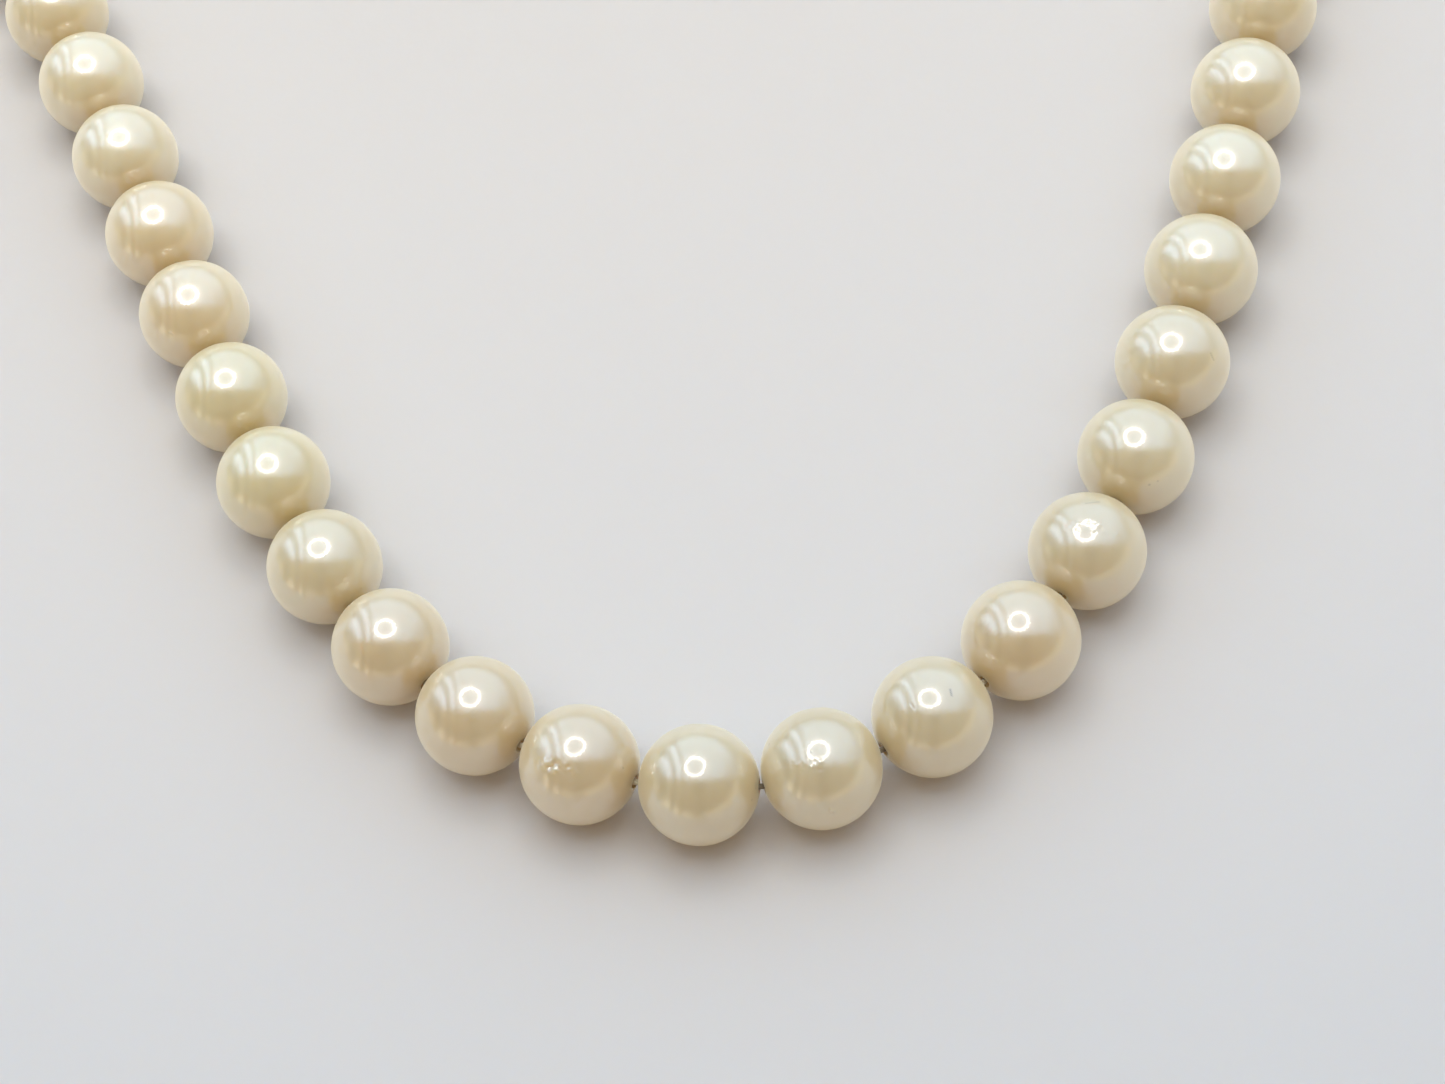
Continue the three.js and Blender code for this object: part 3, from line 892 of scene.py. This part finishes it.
build = bmesh.new()
outside = [around(FLOOR_INSET, 0), around(ROUND_OVER * 2, 0), around(ROUND_OVER * 0.6, ROUND_OVER * 0.3),
           around(0, ROUND_OVER * 1.2), around(0, wall_top(ROUND_OVER))]
edge_of_wall = [around(ROUND_OVER * 0.4, wall_top(ROUND_OVER * 0.3)), around(ROUND_OVER, wall_top(0)),
                around(SHEET - ROUND_OVER, wall_top(0)),
                around(SHEET - ROUND_OVER * 0.3, wall_top(ROUND_OVER * 0.4))]
inside = [around(SHEET, wall_top(ROUND_OVER)), around(SHEET, SHEET + ROUND_OVER),
          around(SHEET + ROUND_OVER, SHEET), around(FLOOR_INSET, SHEET)]
add_layers(build, outside + edge_of_wall + inside)
add_ring_plate(build, Vector((0, 0, case_origin.z)), EYE_HOLE_RADIUS, EYE_RADIUS, SHEET, EYE_EASE)
add_strip(build, [(x, case_origin.z) for x in NECK_REACH], NECK_WIDTHS, SHEET * 0.96)
tray = finished("case_tray", build, satin_gilt, "clasp_case", ["clasp_tray"], case_place)
tray_edges = tray.modifiers.new("eased", "BEVEL")
tray_edges.width = 0.00003
tray_edges.limit_method = "ANGLE"
tray_edges.angle_limit = math.radians(50)
tray.data.set_sharp_from_angle(angle=math.radians(40))


# ---- Clasp lid ----
# A lid pressed to a low dome and soldered on the tray over a rope of two twisted wires. Its
# edge carries a row of grains, and its top soldered scrolls, a stem and a rosette.

LID_SEAT = 0.0037
LID_CROWN = 0.00042
DOME_START = 0.0007
DOME_REACH = 0.0021
DOME_STEP = 0.0002
DOME_STEPS = 11
LID_TOP = LID_SEAT + SHEET * 0.8
# the edge of the lid as (inset, height over the seat), with a groove inside it
LID_EDGE = [(0.0012, 0), (0.00012, 0), (0.00002, 0.0001), (0.00002, SHEET * 0.55), (0.0001, SHEET * 0.72),
            (0.0002, SHEET * 0.8), (0.00052, SHEET * 0.8), (0.0006, SHEET * 0.66), (DOME_START, SHEET * 0.8)]
ROPE_WIRE = 0.00011
ROPE_OFFSET = ROPE_WIRE * 0.8
ROPE_TURN = 0.0009
ROPE_STEP = 0.00015
ROPE_WIRE_SIDES = 7
GRAIN_RADIUS = 0.00013
GRAIN_PITCH = 0.00029
GRAIN_INSET = 0.00036
SCROLL_WIRE = 0.00012
SCROLL_REACH = 0.00098
SCROLL_TURN = math.radians(560)
SCROLL_START = math.radians(190)
SCROLL_STEPS = 46
SCROLL_TAPER = 0.78
SCROLL_STRETCH = 1.25
SCROLL_PITCH = 0.00008
SCROLL_SIDES = 8
SCROLL_PLACE = (0.0029, 0.00085)
STEM_STATIONS = (0.0009, 0.0016, 0.0026, 0.0036, 0.0044)
STEM_PITCH = 0.0001
STEM_BEAD_PLACE = 0.0047
STEM_BEAD_RADIUS = 0.00024
PETALS = 8
PETAL_RING = 0.00062
PETAL_RADIUS = 0.00023
BOSS_RADIUS = 0.00042


def crown(inset):
    """Height of the domed lid at a distance in from its edge."""
    share = min(1.0, max(0.0, (inset - DOME_START) / DOME_REACH))
    return LID_TOP + LID_CROWN * math.sin(share * math.pi / 2)


def on_crown(x, y):
    """The point on the lid's dome for a wire or bead over (x, y) of the case."""
    side_inset = CASE_WIDTH / 2 - abs(y)
    end_inset = min(x - EYE_RADIUS, EYE_RADIUS + CASE_LENGTH - x)
    return Vector((x, y, crown(min(side_inset, end_inset)) + SCROLL_WIRE * 0.35))


def add_bead(build, place, radius, subdivisions=3):
    """A small ball of solder or a grain."""
    bmesh.ops.create_icosphere(
        build, subdivisions=subdivisions, radius=radius, matrix=Matrix.Translation(place))


build = bmesh.new()
lid_layers = [around(inset, LID_SEAT + rise) for inset, rise in LID_EDGE]
for k in range(1, DOME_STEPS + 1):
    inset = DOME_START + DOME_STEP * k
    lid_layers.append(around(inset, crown(inset)))
add_layers(build, lid_layers)
finished("case_lid", build, satin_gilt, "clasp_case", ["clasp_lid"], case_place)

build = bmesh.new()
rim = around(GRAIN_INSET, LID_SEAT + SHEET * 0.82)
for place in even_steps(rim + rim[:1], GRAIN_PITCH)[:-1]:
    add_bead(build, place, GRAIN_RADIUS, subdivisions=2)
finished("lid_grains", build, bright_gilt, "clasp_case", (), case_place)

build = bmesh.new()
rope = around(-0.00002, LID_SEAT - 0.00005)
rope = even_steps(rope + rope[:1], ROPE_STEP)
for ply in range(2):
    wound = coil_line(rope, ROPE_OFFSET, ROPE_TURN, COIL_STEPS, start=math.pi * ply)
    add_wire(build, wound, ROPE_WIRE, ROPE_WIRE_SIDES)
finished("lid_rope", build, bright_gilt, "clasp_case", (), case_place)

build = bmesh.new()
for end in (-1, 1):
    for flank in (-1, 1):
        scroll = []
        for k in range(SCROLL_STEPS + 1):
            turn = k / SCROLL_STEPS * SCROLL_TURN
            reach = SCROLL_REACH * (1 - SCROLL_TAPER * k / SCROLL_STEPS)
            hub = (CASE_MIDDLE + end * SCROLL_PLACE[0], flank * SCROLL_PLACE[1])
            x = hub[0] + end * reach * math.cos(turn + SCROLL_START) * SCROLL_STRETCH
            y = hub[1] + flank * reach * math.sin(turn + SCROLL_START)
            scroll.append(on_crown(x, y))
        add_wire(build, even_steps(scroll, SCROLL_PITCH), SCROLL_WIRE, SCROLL_SIDES)
    stem = [on_crown(CASE_MIDDLE + end * x, 0) for x in STEM_STATIONS]
    add_wire(build, even_steps(stem, STEM_PITCH), SCROLL_WIRE, SCROLL_SIDES)
    add_bead(build, on_crown(CASE_MIDDLE + end * STEM_BEAD_PLACE, 0), STEM_BEAD_RADIUS)
for petal in range(PETALS):
    turn = 2 * math.pi * (petal + 0.5) / PETALS
    petal_place = on_crown(CASE_MIDDLE + PETAL_RING * math.cos(turn), PETAL_RING * math.sin(turn))
    add_bead(build, petal_place, PETAL_RADIUS)
add_bead(build, on_crown(CASE_MIDDLE, 0), BOSS_RADIUS)
finished("lid_scrolls", build, bright_gilt, "clasp_case", (), case_place)


# ---- Crossbar ----
# A gilt pin across the mouth of the case, just over its sill, with its ends riveted outside
# the walls. The tongue's hook catches behind it.

BAR_RADIUS = 0.00035
BAR_INSET = 0.0017
RIVET_RADIUS = BAR_RADIUS * 1.35
BAR_SIDES = 24


def turned_loops(section, x, z, sides):
    """Loops for a piece turned about Y: a section of (distance along, radius) round (x, z)."""
    loops = []
    for y, radius in section:
        turns = [2 * math.pi * k / sides for k in range(sides)]
        loops.append([Vector((x + radius * math.cos(t), y, z + radius * math.sin(t))) for t in turns])
    return loops


build = bmesh.new()
half_bar = CASE_WIDTH / 2
rivet = [(-half_bar - 0.00016, 0.00012), (-half_bar - 0.0001, RIVET_RADIUS * 0.7),
         (-half_bar + 0.00002, RIVET_RADIUS), (-half_bar + 0.0001, RIVET_RADIUS),
         (-half_bar + 0.00012, BAR_RADIUS)]
bar = rivet + [(-y, radius) for y, radius in reversed(rivet)]
bar_x = EYE_RADIUS + CASE_LENGTH - BAR_INSET
add_layers(build, turned_loops(bar, bar_x, MOUTH_SILL + BAR_RADIUS, BAR_SIDES))
finished("case_crossbar", build, bright_gilt, "clasp_case", ["clasp_crossbar"], case_place)


# ---- Clasp tongue ----
# A strip of springy gilt sheet with an eye at one end, bent down to a hook at its tip. A
# small roll soldered across it carries the leaf. It slides into the mouth of the case.

TONGUE_WIDTH = 0.0028
TONGUE_REACH = 0.011
TONGUE_NECK = (EYE_RADIUS * 0.72, EYE_RADIUS * 0.85, EYE_RADIUS)
TONGUE_NECK_WIDTHS = [0.0012, 0.00135, 0.00165]
SHOULDER_LENGTH = 0.0013
SHOULDER_STEPS = 8
BLADE_STATIONS = (0.005, 0.008)
HOOK_DEPTH = 0.0006
HOOK_BEND = SHEET * 0.75
HOOK_STEPS = 8
ROLL_LIFT = 0.00006
ROLL_SIDES = 20

tongue_origin = joint_place("clasp_tongue_swing")
leaf_origin = joint_place("spring_leaf_press")
tongue_dip = math.asin((tongue_origin.z - SHEET / 2 - HOOK_DEPTH) / TONGUE_REACH)
tongue_place = end_frame("left", tongue_origin, tongue_dip)

build = bmesh.new()
add_ring_plate(build, Vector((0, 0, 0)), EYE_HOLE_RADIUS, EYE_RADIUS, SHEET, EYE_EASE)
blade = [(x, 0) for x in TONGUE_NECK]
widths = list(TONGUE_NECK_WIDTHS)
for k in range(1, SHOULDER_STEPS + 1):
    share = k / SHOULDER_STEPS
    blade.append((EYE_RADIUS + SHOULDER_LENGTH * share, 0))
    widths.append(widths[2] + (TONGUE_WIDTH - widths[2]) * math.sin(share * math.pi / 2))
blade += [(x, 0) for x in BLADE_STATIONS]
hook_x = TONGUE_REACH - SHEET / 2
for k in range(HOOK_STEPS + 1):
    turn = k / HOOK_STEPS * math.pi / 2
    blade.append((hook_x - HOOK_BEND + HOOK_BEND * math.sin(turn), -HOOK_BEND + HOOK_BEND * math.cos(turn)))
blade.append((hook_x, -SHEET / 2 - HOOK_DEPTH))
widths += [TONGUE_WIDTH] * (len(blade) - len(widths))
add_strip(build, blade, widths, SHEET)
fold = tongue_place.inverted() @ leaf_origin
half_roll = TONGUE_WIDTH / 2
roll = [(-half_roll, 0.0001), (-half_roll + 0.00002, 0.0002), (-half_roll + 0.0001, 0.00026)]
roll += [(-y, radius) for y, radius in reversed(roll)]
add_layers(build, turned_loops(roll, fold.x, fold.z + ROLL_LIFT, ROLL_SIDES))
tongue = finished("tongue_blade", build, satin_gilt, "clasp_tongue", ["clasp_tongue"], tongue_place)
tongue.data.set_sharp_from_angle(angle=math.radians(50))


# ---- Spring leaf ----
# A thinner strip of the same sheet, folded back over the tongue and standing a little off
# it. Its wider, ribbed thumb tab is pressed to let the hook slip off the crossbar.

LEAF_THICKNESS = 0.0004
LEAF_START = 0.00005
LEAF_REACH = 0.0072
LEAF_RISE = math.radians(9)
LEAF_WIDTH = TONGUE_WIDTH * 0.94
LEAF_STEPS = 40
TAB_LENGTH = 0.0022
TAB_WIDTH = 0.0036
TAB_SHOULDER = 0.0004
TIP_LENGTH = 0.0005
TIP_NARROWING = 0.0006
TAB_CURL = 0.00035
RIBS = 4
RIB_RADIUS = 0.0001
RIB_START = 0.00055
RIB_PITCH = 0.0003
RIB_HALF = TAB_WIDTH * 0.38
RIB_SIDES = 8

leaf_turn = tongue_place.to_3x3().to_4x4() @ Matrix.Rotation(LEAF_RISE, 4, "Y")
leaf_place = Matrix.Translation(leaf_origin) @ leaf_turn
build = bmesh.new()
leaf_path, leaf_widths = [], []
for k in range(LEAF_STEPS + 1):
    x = -LEAF_START - (LEAF_REACH - LEAF_START) * k / LEAF_STEPS
    past_tab = LEAF_REACH - TAB_LENGTH + x
    widening = min(1.0, max(0.0, -past_tab / TAB_SHOULDER))
    from_tip = min(1.0, (LEAF_REACH + x) / TIP_LENGTH)
    curl = TAB_CURL * max(0.0, (-x - LEAF_REACH * 0.9) / (LEAF_REACH * 0.1)) ** 2
    leaf_path.append((x, LEAF_THICKNESS / 2 + curl))
    width = LEAF_WIDTH + (TAB_WIDTH - LEAF_WIDTH) * widening
    leaf_widths.append(width - TIP_NARROWING * (1 - from_tip) ** 2)
add_strip(build, leaf_path, leaf_widths, LEAF_THICKNESS)
for k in range(RIBS):
    x = -LEAF_REACH + RIB_START + RIB_PITCH * k
    rib = [Vector((x, share * RIB_HALF, LEAF_THICKNESS)) for share in (-1, -0.5, 0, 0.5, 1)]
    add_wire(build, rib, RIB_RADIUS, RIB_SIDES)
leaf = finished(
    "tongue_leaf", build, satin_gilt, "clasp_spring_leaf", ["clasp_spring_leaf"], leaf_place)
leaf.data.set_sharp_from_angle(angle=math.radians(50))
